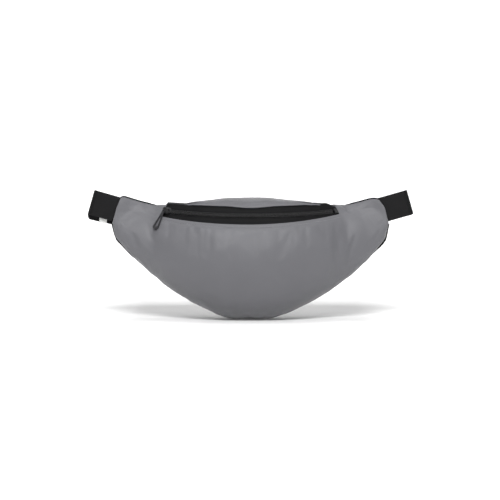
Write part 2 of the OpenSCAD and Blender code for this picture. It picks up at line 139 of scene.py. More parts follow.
def noise_tex(tree, scale, detail, vector_scale=None):
    n = add(tree, "ShaderNodeTexNoise", Scale=scale, Detail=detail, Roughness=0.55)
    coords = add(tree, "ShaderNodeTexCoord").outputs["Object"]
    if vector_scale:
        m = add(tree, "ShaderNodeMapping", Scale=vector_scale)
        tree.links.new(coords, m.inputs["Vector"])
        coords = m.outputs["Vector"]
    tree.links.new(coords, n.inputs["Vector"])
    return n.outputs["Fac"]


def bump(tree, bsdf, height, distance, strength=1.0, under=None):
    b = add(tree, "ShaderNodeBump", Distance=distance, Strength=strength)
    tree.links.new(height, b.inputs["Height"])
    if under is not None:
        tree.links.new(under, b.inputs["Normal"])
    tree.links.new(b.outputs["Normal"], bsdf.inputs["Normal"])
    return b.outputs["Normal"]


def cloth_material(name, colour, spread, weave, rough, sheen, bump_mm, gloss=0.35):
    """Woven cloth: uneven dye, threads from the weave's height, and a fine fibre grain."""
    mat, tree, bsdf = node_material(name)
    height = plain_weave(tree, *weave)
    blotch = noise_tex(tree, 22, 4)
    grain = noise_tex(tree, 900, 2)
    mixed = math_node(tree, "MULTIPLY_ADD", height, 0.35, math_node(tree, "MULTIPLY", blotch, 0.65))
    mixed = math_node(tree, "MULTIPLY_ADD", math_node(tree, "SUBTRACT", grain, 0.5), 0.35, mixed)
    low = tuple(c * (1 - spread) for c in colour)
    high = tuple(min(1, c * (1 + spread)) for c in colour)
    col = ramp(tree, mixed, [(0.18, low), (0.5, colour), (0.82, high)])
    tree.links.new(col, bsdf.inputs["Base Color"])
    polish = math_node(tree, "MULTIPLY_ADD", grain, 0.5, math_node(tree, "MULTIPLY", height, 0.5))
    r = ramp(tree, polish, [(0.2, (rough[1],) * 3), (0.8, (rough[0],) * 3)])
    tree.links.new(r, bsdf.inputs["Roughness"])
    first = bump(tree, bsdf, height, bump_mm * MM, 0.9)
    bump(tree, bsdf, grain, 0.02 * MM, 0.6, first)
    bsdf.inputs["Sheen Weight"].default_value = sheen
    bsdf.inputs["Sheen Roughness"].default_value = 0.45
    bsdf.inputs["Specular IOR Level"].default_value = gloss
    return mat


def hard_material(name, colour, rough, metallic=0.0, grain_mm=0.03, coat=0.0):
    """Moulded plastic or painted metal: fine grain, uneven gloss, rubbed lighter edges and painted shade in
    hollows.
    """
    mat, tree, bsdf = node_material(name)
    spread = 0.18
    grain = noise_tex(tree, 2600, 3)
    patch = noise_tex(tree, 60, 4)
    geo = tree.nodes.new("ShaderNodeNewGeometry")
    # pointiness lightens sharp edges as rubbing and darkens hollows as painted shade
    edge = math_node(tree, "MULTIPLY", math_node(tree, "SUBTRACT", geo.outputs["Pointiness"], 0.5), 3.0)
    mottle = math_node(tree, "MULTIPLY_ADD", grain, 0.3, math_node(tree, "MULTIPLY", patch, 0.7))
    mottle_rubbing_and_hollow_shade = math_node(tree, "ADD", mottle, edge)
    low = tuple(c * (1 - spread) for c in colour)
    high = tuple(min(1, c * (1 + 2.2 * spread)) for c in colour)
    tree.links.new(ramp(tree, mottle_rubbing_and_hollow_shade, [(0.25, low), (0.55, colour), (0.9, high)]), bsdf.inputs["Base Color"])
    streak = noise_tex(tree, 260, 2, vector_scale=(1, 1, 7))
    r = math_node(tree, "MULTIPLY_ADD", math_node(tree, "SUBTRACT", streak, 0.5), 0.22, rough)
    r = math_node(tree, "MULTIPLY_ADD", math_node(tree, "SUBTRACT", patch, 0.5), 0.16, r)
    tree.links.new(r, bsdf.inputs["Roughness"])
    bump(tree, bsdf, grain, grain_mm * MM, 0.7)
    bsdf.inputs["Metallic"].default_value = metallic
    bsdf.inputs["Coat Weight"].default_value = coat
    bsdf.inputs["Coat Roughness"].default_value = 0.25
    return mat


GREY = (0.1125, 0.1125, 0.122)
shell = cloth_material(
    "Grey_Outer_Fabric", GREY, 0.07, (0.42, 0.42),
    rough=(0.44, 0.56), sheen=0.25, bump_mm=0.05
)
lining = cloth_material(
    "Dark_Coated_Inside", (0.026, 0.026, 0.028), 0.12, (0.5, 0.5),
    rough=(0.4, 0.5), sheen=0.05, bump_mm=0.03, gloss=0.3
)
backing = cloth_material(
    "Black_Back_Fabric", (0.011, 0.011, 0.0122), 0.2, (0.9, 0.9),
    rough=(0.62, 0.78), sheen=0.08, bump_mm=0.12, gloss=0.2
)
binding = cloth_material(
    "Black_Binding_Tape", (0.005, 0.005, 0.0055), 0.2, (0.6, 1.1),
    rough=(0.6, 0.75), sheen=0.03, bump_mm=0.1, gloss=0.1
)
tape_mat = cloth_material(
    "Black_Zip_Tape", (0.0042, 0.0042, 0.0046), 0.22, (0.55, 0.8),
    rough=(0.55, 0.7), sheen=0.02, bump_mm=0.1, gloss=0.1
)
webbing = cloth_material(
    "Black_Webbing", (0.004, 0.0039, 0.0045), 0.25, (1.25, 0.85),
    rough=(0.5, 0.65), sheen=0.03, bump_mm=0.22, gloss=0.16
)
elastic = cloth_material(
    "Black_Elastic", (0.008, 0.008, 0.0088), 0.22, (0.7, 0.9),
    rough=(0.55, 0.7), sheen=0.06, bump_mm=0.14, gloss=0.22
)
label_mat = cloth_material(
    "White_Label_Satin", (0.6, 0.6, 0.59), 0.04, (0.16, 0.3),
    rough=(0.35, 0.48), sheen=0.2, bump_mm=0.02
)
thread_grey = cloth_material(
    "Grey_Thread", (0.165, 0.165, 0.175), 0.12, (0.2, 0.2),
    rough=(0.4, 0.55), sheen=0.3, bump_mm=0.03
)
thread_black = cloth_material(
    "Black_Thread", (0.024, 0.024, 0.026), 0.2, (0.2, 0.2),
    rough=(0.4, 0.55), sheen=0.06, bump_mm=0.03, gloss=0.25
)
coil_mat = hard_material("Black_Nylon_Coil", (0.005, 0.005, 0.0055), 0.4, grain_mm=0.01)
metal_mat = hard_material("Black_Painted_Metal", (0.006, 0.006, 0.0066), 0.45, grain_mm=0.012, coat=0.1)
pull_mat = hard_material(
    "Dark_Grey_Pull", (0.022, 0.022, 0.024), 0.4,
    metallic=0.2, grain_mm=0.012, coat=0.25
)
plastic = hard_material("Black_Moulded_Plastic", (0.009, 0.009, 0.0098), 0.42, grain_mm=0.03)

# -------------------- the bag's driving sizes, as in the CAD

WING_X, CREST_Z, BULGE = 164.0, 144.5, 60.9
TAPE_HALF = 13.0
STRAP_W, STRAP_T, RISE = 30.0, 1.4, math.radians(16)
FOLD_X, BELT_Y, BELT_Z = 190.0, 49.5, 118.0
WING_END, WING_END_Z = 34.0, CREST_Z - 29.5
OUTLINE_H, CORNER_X, CORNER_W = CREST_Z - 42.8, WING_X - 4.5, 0.759
WING_TOP_X = WING_X - WING_END * math.sin(RISE)
VALLEY_X, CREST_RISE, WING_RISE = 112.0, 8.7, 11.9
VALLEY_Z = CREST_Z - CREST_RISE
TIP_Y, BOTTOM_Y, TOP_Y = -2.0, 16.0, 20.0
ZIP_MID_Y, ZIP_MID_Z, ZIP_DROP, ZIP_REACH = -31, 124.5, 4.5, 28
LEAN = math.atan2(ZIP_DROP, ZIP_REACH)
SAG = math.hypot(ZIP_REACH, ZIP_DROP)
ZIP_HALF = 105.0
ZIP_R = (ZIP_HALF**2 + SAG**2) / (2 * SAG)
ZIP_ANGLE = math.asin(ZIP_HALF / ZIP_R)
TILT = math.radians(48) - LEAN
ZIP_FRONT = np.array([0, -math.cos(LEAN), -math.sin(LEAN)])
ZIP_AXIS = np.array([0, -math.sin(LEAN), math.cos(LEAN)])
ZIP_CENTRE = np.array([0, ZIP_MID_Y, ZIP_MID_Z]) - ZIP_R * ZIP_FRONT
LIP_END = ZIP_ANGLE - math.radians(0.5)
LIP_U = 0.68
LIP_Q = 1.95
TOP_U = 98.5 / WING_TOP_X
CLOTH_T = 0.55
FRONT_STITCH, TOP_STITCH = 4.2, 4.0
FOLD_R, STUB_IN, LEFT_DROP, RIGHT_DROP, FOLD_TURN = 6.0, 13.0, 6.0, 1.0, math.radians(152)


def col(a):
    return np.asarray(a, float)[..., None]


def unit(v):
    return v / np.maximum(np.linalg.norm(v, axis=-1, keepdims=True), 1e-12)


def lerp(a, b, t):
    return a + (b - a) * t


def smooth(t):
    t = np.clip(t, 0, 1)
    return t * t * (3 - 2 * t)


def bezier(p, t):
    return (1 - t) ** 3 * p[0] + 3 * t * (1 - t) ** 2 * p[1] + 3 * t * t * (1 - t) * p[2] + t**3 * p[3]


def hammock_z(x):
    reach = np.clip(np.abs(x) / (CORNER_X + 0.5), 0, 1) ** 1.7
    return np.maximum(0, OUTLINE_H * (1 - (1 - reach) ** 0.95) - 3)


def bottom_z(x):
    up = np.clip((np.abs(x) - CORNER_X) / (WING_X - CORNER_X), 0, 1) ** 1.3
    return np.where(np.abs(x) < CORNER_X, hammock_z(x), lerp(hammock_z(CORNER_X), WING_END_Z, up))


def top_z(x):
    ax = np.abs(x)
    rise = np.maximum(0, (ax - VALLEY_X) / (WING_TOP_X - VALLEY_X)) ** 1.3
    hill = VALLEY_Z + CREST_RISE * (1 + np.cos(np.pi * np.minimum(ax, VALLEY_X) / VALLEY_X)) / 2
    return np.where(ax < VALLEY_X, hill, VALLEY_Z + WING_RISE * rise)


def seam_y(u, middle):
    return lerp(middle, TIP_Y, u * u)


def seam_x(u):
    """Where along the bag a point of the bottom seam lies; it slows down towards the wing's lower corner."""
    start = LIP_U * WING_X
    w = (np.abs(u) - LIP_U) / (1 - LIP_U)
    s = np.clip(w / CORNER_W, 0, 1)
    pace = (WING_X - start) * CORNER_W / (CORNER_X - start)
    inner = lerp(start, CORNER_X, s * (pace + (1 - pace) * s))
    outer = lerp(CORNER_X, WING_X, (w - CORNER_W) / (1 - CORNER_W))
    return np.where(w <= 0, WING_X * u, np.sign(u) * np.where(w < CORNER_W, inner, outer))


def bottom_seam(u):
    """The seam under the front. The stuffing lets the right wing hang a little lower than the left one."""
    x = seam_x(u)
    sag = 2.8 * smooth((x - 66) / 40) * smooth((WING_X + 1 - x) / 12)
    return np.stack([x, seam_y(u, BOTTOM_Y), np.maximum(bottom_z(x) - sag, 0)], -1)


def top_seam(u):
    return np.stack([WING_TOP_X * u, seam_y(u, TOP_Y), top_z(WING_TOP_X * u)], -1)


def zip_radial(a):
    return col(np.cos(a)) * ZIP_FRONT + col(np.sin(a)) * np.array([1.0, 0, 0])


def zip_up(a):
    return -math.cos(TILT) * zip_radial(a) + math.sin(TILT) * ZIP_AXIS


def zip_out(a):
    return math.sin(TILT) * zip_radial(a) + math.cos(TILT) * ZIP_AXIS


def zip_point(a, p, q=0.0):
    return ZIP_CENTRE + ZIP_R * zip_radial(a) + col(p) * zip_up(a) + col(q) * zip_out(a)


def lower_half(a):
    t = np.abs(a) / ZIP_ANGLE
    return TAPE_HALF + 1.6 - np.where(a < 0, 5.6 * t**2.2, 9.2 * t**1.7)


def upper_half(a):
    t = np.abs(a) / ZIP_ANGLE
    dip = 2.2 * np.maximum(0, 1 - (t / 0.3) ** 2) ** 2
    return TAPE_HALF + 1.3 - dip - np.where(a < 0, 2.2 * t**2.5, t**3 + 6.5 * smooth((t - 0.87) / 0.12))


def lip_half(a, side):
    return lower_half(a) if side < 0 else upper_half(a)


def lip(a, side):
    return zip_point(a, side * lip_half(a, side), np.full_like(np.asarray(a, float), LIP_Q))


UPRIGHT = np.array([0, 0, 1.0])


def wobble(points, scale, seed, octaves=3):
    """Smooth unevenness, about -1 to 1, from a fixed noise."""
    flat = points.reshape(-1, 3) * scale + seed
    out = np.array([noise.fractal(Vector(p), 1.0, 2.0, octaves) for p in flat])
    return out.reshape(points.shape[:-1])


# -------------------- mesh helpers


def lengths(path):
    """Length along a path at each of its points."""
    return np.concatenate([[0], np.cumsum(np.linalg.norm(np.diff(path, axis=0), axis=1))])


def row_lengths(grid):
    """Length along each row of a grid, from the row's first point."""
    steps = np.linalg.norm(np.diff(grid, axis=1), axis=2)
    return np.concatenate([np.zeros((len(grid), 1)), np.cumsum(steps, 1)], 1)


def along_path(s, length, values):
    return np.stack([np.interp(s, length, values[:, k]) for k in range(3)], 1)


def make(name, verts, faces, mats, uvs=None):
    mesh = bpy.data.meshes.new(name)
    corners = [tuple(v) for v in np.asarray(verts) * MM]
    mesh.from_pydata(corners, [], [tuple(int(i) for i in f) for f in faces])
    for m in mats:
        mesh.materials.append(m)
    mesh.polygons.foreach_set("use_smooth", np.full(len(mesh.polygons), True))
    layer = mesh.uv_layers.new(name="weave")
    if uvs is not None:
        loops = np.empty(len(mesh.loops), np.int32)
        mesh.loops.foreach_get("vertex_index", loops)
        layer.data.foreach_set("uv", np.asarray(uvs, np.float32)[loops].ravel())
    mesh.validate()
    mesh.update()
    obj = bpy.data.objects.new(name, mesh)
    scene.collection.objects.link(obj)
    return obj


def grid_faces(n, m):
    """Quads of an n by m grid of points. They face -Y when the rows run along +X and the columns run up."""
    faces = []
    for i in range(n - 1):
        for j in range(m - 1):
            a, b = i * m + j, (i + 1) * m + j
            faces.append((a, b, b + 1, a + 1))
    return faces


def rim_faces(n, m):
    """Quads that join the edge of an n by m grid to the same edge of a second grid, numbered after it."""
    rim = list(range(m)) + [i * m + m - 1 for i in range(1, n)]
    rim += [(n - 1) * m + j for j in range(m - 2, -1, -1)] + [i * m for i in range(n - 2, 0, -1)]
    return [(a, b, b + n * m, a + n * m) for a, b in zip(rim, rim[1:] + rim[:1])]


def grid_uv(grid):
    """Lengths along both ways of a grid, in mm. The first is measured from the grid's middle."""
    du = np.linalg.norm(np.diff(grid, axis=0), axis=2)
    u = np.concatenate([np.zeros((1, grid.shape[1])), np.cumsum(du, 0)])
    u -= u[len(u) // 2]
    return np.stack([u, row_lengths(grid)], -1).reshape(-1, 2)


def merge(parts):
    """Joins (verts, faces, uvs) lists into one."""
    verts, faces, uvs, n = [], [], [], 0
    for v, f, uv in parts:
        verts.append(v)
        faces += [tuple(i + n for i in face) for face in f]
        uvs.append(uv)
        n += len(v)
    return np.concatenate(verts), faces, np.concatenate(uvs)


def ring_faces(i, nxt, m):
    return [(i * m + j, i * m + (j + 1) % m, nxt * m + (j + 1) % m, nxt * m + j) for j in range(m)]


def tube(path, section, sides, up=(0, 0, 1)):
    """A tube along path. section is (half width, half thickness) or an array of them, one for each point."""
    path = np.asarray(path, float)
    t = unit(np.gradient(path, axis=0))
    n = unit(np.cross(t, np.broadcast_to(np.asarray(up, float), path.shape)))
    s = np.cross(n, t)
    sec = np.broadcast_to(np.asarray(section, float), (len(path), 2))
    ang = np.linspace(0, 2 * np.pi, sides, endpoint=False)
    ring = path[:, None] + sec[:, None, :1] * np.cos(ang)[None, :, None] * s[:, None]
    ring = ring + sec[:, None, 1:] * np.sin(ang)[None, :, None] * n[:, None]
    k, m = len(path), sides
    faces = [f for i in range(k - 1) for f in ring_faces(i, i + 1, m)]
    faces += [tuple(range(m))[::-1], tuple((k - 1) * m + j for j in range(m))]
    uv = np.stack(np.broadcast_arrays(lengths(path)[:, None], (ang * sec.mean())[None, :]), -1).reshape(-1, 2)
    return ring.reshape(-1, 3), faces, uv


def resample(path, step):
    length = lengths(path)
    s = np.linspace(0, length[-1], max(2, int(round(length[-1] / step)) + 1))
    return along_path(s, length, path)


def stitches(path, normals, pitch, long, wide, lift):
    """A row of thread stitches that dips into the cloth at both ends of each."""
    length = lengths(path)
    count = int(length[-1] // pitch)
    parts = []
    for k in range(count):
        s = (k + 0.5) * length[-1] / count + np.array([-0.5, -0.38, -0.15, 0.15, 0.38, 0.5]) * long
        c = along_path(s, length, path)
        n = unit(along_path(s, length, normals))
        c = c + n * (lift + wide * np.array([-0.9, 0.0, 0.35, 0.35, 0.0, -0.9]))[:, None]
        r = wide * np.array([0.45, 0.85, 1, 1, 0.85, 0.45])
        parts.append(tube(c, np.stack([r, r * 0.8], 1), 6, up=n))
    return merge(parts)


def normals_of(grid):
    du = np.gradient(grid, axis=0)
    dv = np.gradient(grid, axis=1)
    return unit(np.cross(du, dv))


def two_sided(face, behind):
    """(verts, faces, uvs) of a closed piece between a grid and a second one behind it."""
    n, m = face.shape[:2]
    near_faces = grid_faces(n, m)
    far_faces = [tuple(i + n * m for i in f)[::-1] for f in near_faces]
    uv = grid_uv(face)
    verts = np.concatenate([face.reshape(-1, 3), behind.reshape(-1, 3)])
    return verts, near_faces + far_faces + rim_faces(n, m), np.concatenate([uv, uv])


def solid_sheet(grid, thick):
    return two_sided(grid, grid - thick * normals_of(grid))


# -------------------- front panel


def depth(u):
    return 3 + (BULGE - 3) * np.maximum(0, 1 - np.abs(u) ** 2.2) ** 0.8


def wing_part(u):
    return np.clip((np.abs(u) - LIP_U) / (1 - LIP_U), 0, 1)


def round_off(u):
    """How far the top edge drops where it turns into a wing's end. The right corner is the rounder one."""
    turn, drop = np.where(u > 0, 0.11, 0.045), np.where(u > 0, 9.0, 4.5)
    corner = np.clip((np.abs(u) - 1 + turn) / turn, 0, 1)
    return drop * (1 - np.sqrt(np.maximum(0, 1 - 0.98 * corner**2)))


def wing_seam(u):
    """The front cloth's top edge on a wing."""
    t = np.sign(u) * lerp(TOP_U, 1, wing_part(u))
    cover = 1.2 * smooth((0.76 - np.abs(t)) / 0.06)
    return top_seam(t) - np.stack([0 * u, 1.4 - cover, round_off(t) - 0.4 * cover], -1)


def crest(u):
    """The line where the front turns over: the zip's lower lip, carried on to the end of each wing."""
    side = np.sign(u)
    start = lip(side * LIP_END, -1)
    step = 1e-4
    pace = (start - lip(side * (LIP_END - step), -1)) / step * (LIP_END / LIP_U) * (1 - LIP_U)
    end = lerp(bottom_seam(side), top_seam(side), 0.6) - np.array([0, 3.0, 0])
    wing = bezier([start, start + pace / 3, lerp(end, start + pace / 2.6, 0.5), end], col(wing_part(u)))
    return np.where(col(np.abs(u) <= LIP_U), lip(LIP_END * np.clip(u / LIP_U, -1, 1), -1), wing)


def crest_up(u):
    """The cloth's upward direction along the crest line."""
    towards = unit(wing_seam(u) - crest(u))
    wing = unit(lerp(zip_up(LIP_END * u / LIP_U), towards, col(smooth(wing_part(u) * 2.0))))
    return np.where(col(np.abs(u) <= LIP_U), zip_up(LIP_END * np.clip(u / LIP_U, -1, 1)), wing)


def settle(z):
    """Heights of cloth that rests on the floor: level there, and rising from it in a soft curve."""
    soft = 2.6
    return 0.5 * (z + np.sqrt(z * z + soft * soft)) * smooth((z + 14) / 10)


def front_body(u, t):
    """The front from the bottom seam (t 0) to the zip's lip, or on a wing to the crest line (t 1)."""
    start = bottom_seam(u) - np.array([0, 1.3, 0])
    end = crest(u)
    d = col(depth(u))
    low_handle = start - np.array([0, 1, 12 / BULGE]) * d
    p = bezier([start, low_handle, end - 44 * crest_up(u) * d / BULGE, end], col(t))
    p[..., 2] = settle(p[..., 2])
    return p


def front_wing(u, t):
    start, end = crest(u), wing_seam(u)
    middle = start + 0.55 * np.linalg.norm(end - start, axis=-1, keepdims=True) * crest_up(u)
    return bezier([start, lerp(start, middle, 2 / 3), lerp(end, middle, 2 / 3), end], col(t))


def front_grid(us, ts, place):
    return place(np.repeat(us[:, None], len(ts), 1), np.repeat(ts[None, :], len(us), 0))


CORE = np.linspace(-LIP_U, LIP_U, 121)
WING = np.linspace(LIP_U, 1, 31)[1:]
US = np.concatenate([-WING[::-1], CORE, WING])
ROWS = np.concatenate([
    np.linspace(0, 0.12, 10)[:-1], np.linspace(0.12, 0.9, 50), np.linspace(0.9, 1, 13)[1:]
])
WT = np.linspace(0, 1, 21)
body = front_grid(US, ROWS, front_body)


def fold(height, across, width, rising, falling):
    """A fold where across is 0, fading over width, and at its lower and upper ends."""
    return height * np.exp(-((across / width) ** 2)) * smooth(rising) * smooth(falling)


def front_relief(grid):
    """How far the cloth stands off the smooth shape: puckers at seams, soft folds and lumps of stuffing."""
    low = row_lengths(grid)
    high = low[:, -1:] - low
    x, z = grid[..., 0], grid[..., 2]
    u = US[:, None]
    core = smooth((LIP_U + 0.03 - np.abs(u)) / 0.06)
    lump = 1.1 * wobble(grid, 0.018, 3.1, 2)
    fine = 0.35 * wobble(grid, 0.05, 9.4, 2)
    along = np.stack([x, 0 * x, 0 * x], -1)
    pucker = wobble(along, 0.11, 5.7, 3)
    pleat = wobble(along, 0.23, 1.3, 2)
    # the stitched channel along the lip, and the swelling below it
    groove = -0.55 * np.exp(-(((high - FRONT_STITCH) / 1.1) ** 2)) * (1 + 0.5 * pleat)
    swell = (0.55 + 0.75 * pucker) * np.exp(-(((high - 9) / 5) ** 2)) * smooth((high - FRONT_STITCH) / 3)
    pulls = 0.5 * pleat * np.exp(-high / 16) * smooth((high - 4) / 4)
    d = core * (groove + swell + pulls)
    # the bottom seam draws the cloth in
    d += (0.55 * pucker + 0.35 * pleat) * np.exp(-low / 9) * smooth(low / 3)
    away = smooth(low / 14) * smooth(high / 16)
    d += away * (lump + fine)
    # a soft upright fold on the right, and pulls at the wings
    lean = 0.12 * (z - 75)
    d -= fold(1.3, x - 101 - lean, 4.2, (z - 48) / 14, (104 - z) / 16)
    d += fold(0.7, x - 92 - lean, 5.5, (z - 46) / 14, (108 - z) / 16)
    d -= fold(0.8, x + 120 + 0.5 * (z - 110), 4.5, (z - 88) / 12, (132 - z) / 12)
    d -= fold(0.6, x + 146 - 0.9 * (z - 108), 3, (z - 96) / 8, (124 - z) / 10)
    d -= fold(0.6, x - 150 + 0.8 * (z - 112), 3.2, (z - 98) / 8, (128 - z) / 10)
    edge = smooth(low / 4) * smooth((1 - np.abs(u)) * WING_X / 5)
    return d * edge * smooth((grid[..., 2] - 0.3) / 5)


body = body + front_relief(body)[..., None] * normals_of(body)


def wing_grid(side):
    us = side * np.concatenate([[LIP_U], WING])
    if side < 0:
        us = us[::-1]
    g = front_grid(us, WT, front_wing)
    # lift the edge that runs over the zip's end, and let the wing's top stay full
    w = wing_part(us)[:, None]
    lift = 1.1 * np.sin(np.pi * WT[None, :]) ** 0.8 * (0.35 + 0.9 * np.exp(-w / 0.12))
    g = g + lift[..., None] * normals_of(g)
    cols = slice(len(CORE) + len(WING) - 1, None) if side > 0 else slice(0, len(WING) + 1)
    g[:, 0] = body[cols, -1]
    # carry the body's slope a little way past the crest line, so no ridge shows there
    slope = unit(body[cols, -1] - body[cols, -2])
    for j, share in ((1, 0.6), (2, 0.3)):
        reach = np.linalg.norm(g[:, j] - g[:, 0], axis=1, keepdims=True)
        g[:, j] = lerp(g[:, j], g[:, 0] + slope * reach, share)
    return g


def turned(edge, onward, outward, under=5.0):
    """Rows that fold an edge under: round a small radius, then back beneath the cloth."""
    radius, rows = 0.75, 5
    out = [edge]
    for k in range(1, rows + 1):
        a = math.pi * k / rows
        out.append(edge + radius * (math.sin(a) * onward - (1 - math.cos(a)) * outward))
    out.append(edge - 0.5 * under * onward - 2 * radius * outward)
    out.append(edge - under * onward - 2 * radius * outward)
    return np.stack(out, 1)


def sheet_object(name, grids, relax):
    """One cloth object from grids that share edges, welded, eased and given its thickness."""
    parts = [(g.reshape(-1, 3), grid_faces(*g.shape[:2]), grid_uv(g)) for g in grids]
    verts, faces, uvs = merge(parts)
    obj = make(name, verts, faces, [shell, lining], uvs=uvs)
    bm = bmesh_from(obj)
    weld = 0.02 * MM
    bmesh.ops.remove_doubles(bm, verts=bm.verts, dist=weld)
    inside = [v for v in bm.verts if not v.is_boundary]
    for _ in range(relax):
        bmesh.ops.smooth_vert(bm, verts=inside, factor=0.5, use_axis_x=True, use_axis_y=True, use_axis_z=True)
    bm.to_mesh(obj.data)
    bm.free()
    thicken(obj, CLOTH_T)
    return obj


def bmesh_from(obj):
    bm = bmesh.new()
    bm.from_mesh(obj.data)
    return bm


def face_outward(obj):
    bm = bmesh_from(obj)
    bmesh.ops.recalc_face_normals(bm, faces=bm.faces)
    bm.to_mesh(obj.data)
    bm.free()
    return obj


def apply_modifiers(obj):
    bpy.context.view_layer.update()
    graph = bpy.context.evaluated_depsgraph_get()
    evaluated = obj.evaluated_get(graph)
    mesh = bpy.data.meshes.new_from_object(evaluated, preserve_all_data_layers=True, depsgraph=graph)
    obj.modifiers.clear()
    obj.data = mesh


def thicken(obj, thick):
    mod = obj.modifiers.new("Thickness", "SOLIDIFY")
    mod.thickness = thick * MM
    mod.offset = -1
    mod.use_even_offset = True
    mod.material_offset = 1
    mod.material_offset_rim = 0
    apply_modifiers(obj)


left_wing, right_wing = wing_grid(-1), wing_grid(1)


def index_faces(index):
    a, b, c, d = index[:-1, :-1], index[1:, :-1], index[1:, 1:], index[:-1, 1:]
    return np.stack([a, b, c, d], -1).reshape(-1, 4).tolist()


def stuffed(name, points, faces, hold, pressure, spare, frames, cap):
    """Cloth simulation: points in mm that the stuffing presses out, held where hold is 1.

    spare is the cloth's extra length, as a share, and cap is the furthest that a point can move. The broad
    swelling is taken back to a quarter of itself, so that the outline stays and the wrinkles show.
    """
    obj = make(name, points, faces, [])
    group = obj.vertex_groups.new(name="held")
    for i, w in enumerate(hold):
        if w > 0:
            group.add([i], float(w), "REPLACE")
    mod = obj.modifiers.new("Stuffing", "CLOTH")
    mod.point_cache.frame_start, mod.point_cache.frame_end = 1, frames
    c = mod.settings
    c.quality = 8
    c.mass = 0.12
    c.tension_stiffness = c.compression_stiffness = 28
    c.shear_stiffness = 12
    c.bending_stiffness = 0.35
    c.vertex_group_mass = "held"
    c.pin_stiffness = 1.0
    c.shrink_min = c.shrink_max = -spare
    c.use_pressure = True
    c.uniform_pressure_force = pressure
    c.effector_weights.gravity = 0
    mod.collision_settings.use_collision = False
    for f in range(1, frames + 1):
        scene.frame_set(f)
    graph = bpy.context.evaluated_depsgraph_get()
    done = obj.evaluated_get(graph).to_mesh()
    out = np.empty(len(points) * 3, np.float32)
    done.vertices.foreach_get("co", out)
    obj.evaluated_get(graph).to_mesh_clear()
    bpy.data.objects.remove(obj)
    scene.frame_set(1)
    move = out.reshape(-1, 3) / MM - points
    # neighbours' mean, many times over, is the broad part of the movement
    edges = np.array([(f[k], f[(k + 1) % len(f)]) for f in faces for k in range(len(f))])
    both = np.concatenate([edges, edges[:, ::-1]])
    degree = np.bincount(both[:, 0], minlength=len(points)).astype(float)
    broad = move.copy()
    for _ in range(60):
        total = np.stack([np.bincount(both[:, 0], broad[both[:, 1], k], len(points)) for k in range(3)], 1)
        broad = 0.5 * broad + 0.5 * total / degree[:, None]
        broad[hold > 0.99] = 0
    move = move - 0.75 * broad
    size = np.linalg.norm(move, axis=1, keepdims=True)
    move *= cap * np.tanh(size / cap) / np.maximum(size, 1e-9)
    return points + move


body_i = np.arange(body.shape[0] * body.shape[1]).reshape(body.shape[:2])
pools, wing_i = [body.reshape(-1, 3)], {}
total = body_i.size
for side, g in ((-1, left_wing), (1, right_wing)):
    ids = np.empty(g.shape[:2], int)
    ids[:, 0] = body_i[: len(WING) + 1, -1] if side < 0 else body_i[-len(WING) - 1:, -1]
    ids[:, 1:] = total + np.arange(g.shape[0] * (g.shape[1] - 1)).reshape(g.shape[0], -1)
    total += g.shape[0] * (g.shape[1] - 1)
    pools.append(g[:, 1:].reshape(-1, 3))
    wing_i[side] = ids
points = np.concatenate(pools)
hold = np.zeros(total)
from_lip = row_lengths(body[:, ::-1])[:, ::-1]
in_core = (np.abs(US) <= LIP_U)[:, None]
hold[body_i] = np.where(in_core & (from_lip < 4.4), 1, np.where(in_core & (from_lip < 7), 0.3, 0))
hold[body_i[:, 0]] = hold[body_i[0]] = hold[body_i[-1]] = 1
for side, ids in wing_i.items():
    hold[ids[:, -1]] = 1
    hold[ids[0]] = hold[ids[-1]] = 1
faces = index_faces(body_i) + index_faces(wing_i[-1]) + index_faces(wing_i[1])
points = stuffed("front_trial", points, faces, hold, pressure=3.0, spare=0.01, frames=22, cap=1.2)
points[:, 2] = np.maximum(points[:, 2], 0.02)
body = points[body_i]
left_wing, right_wing = points[wing_i[-1]], points[wing_i[1]]


def creased(g):
    """The short crease that runs down from the top edge beside the zip's right end."""
    x, z = g[..., 0], g[..., 2]
    across = 0.82 * (z - 135.8 + 0.7 * (x - 110.3))
    reach = np.exp(-(((x - 113.6) / 4.6) ** 4)) * smooth(WT / 0.2)[None, :] * smooth((1 - WT) / 0.1)[None, :]
    ridge = 2.2 * np.exp(-(((across - 1.5) / 1.1) ** 2)) * reach
    groove = 2.8 * np.exp(-(((across + 0.3) / 1.0) ** 2)) * reach
    return g + col(ridge) * np.array([0, -1, 0.1]) - col(groove) * normals_of(g)


right_wing = creased(right_wing)
core = slice(len(WING), len(WING) + len(CORE))
core_a = LIP_END * CORE / LIP_U
lip_hem = turned(body[core, -1], zip_up(core_a), zip_out(core_a))
end_hems = []
for side, edge in ((-1, left_wing[-1]), (1, right_wing[0])):
    t = unit(np.gradient(edge, axis=0))
    n = normals_of(left_wing if side < 0 else right_wing)[-1 if side < 0 else 0]
    onward = unit(np.cross(n, t))
    onward *= np.where((onward[:, :1] * -side) > 0, 1, -1)
    g = turned(edge, onward, n, under=3.0)
    end_hems.append(np.swapaxes(g, 0, 1)[::-1] if side > 0 else np.swapaxes(g, 0, 1))
front_grids = [body, left_wing, right_wing, lip_hem] + end_hems
front = sheet_object("front_panel_cloth", front_grids, relax=3)
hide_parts("front_panel")
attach(front, "bag")

# -------------------- top panel

TOP_A = LIP_END + math.radians(0.45)
ta = np.linspace(-TOP_A, TOP_A, 141)
tv = np.linspace(0, 1, 25)


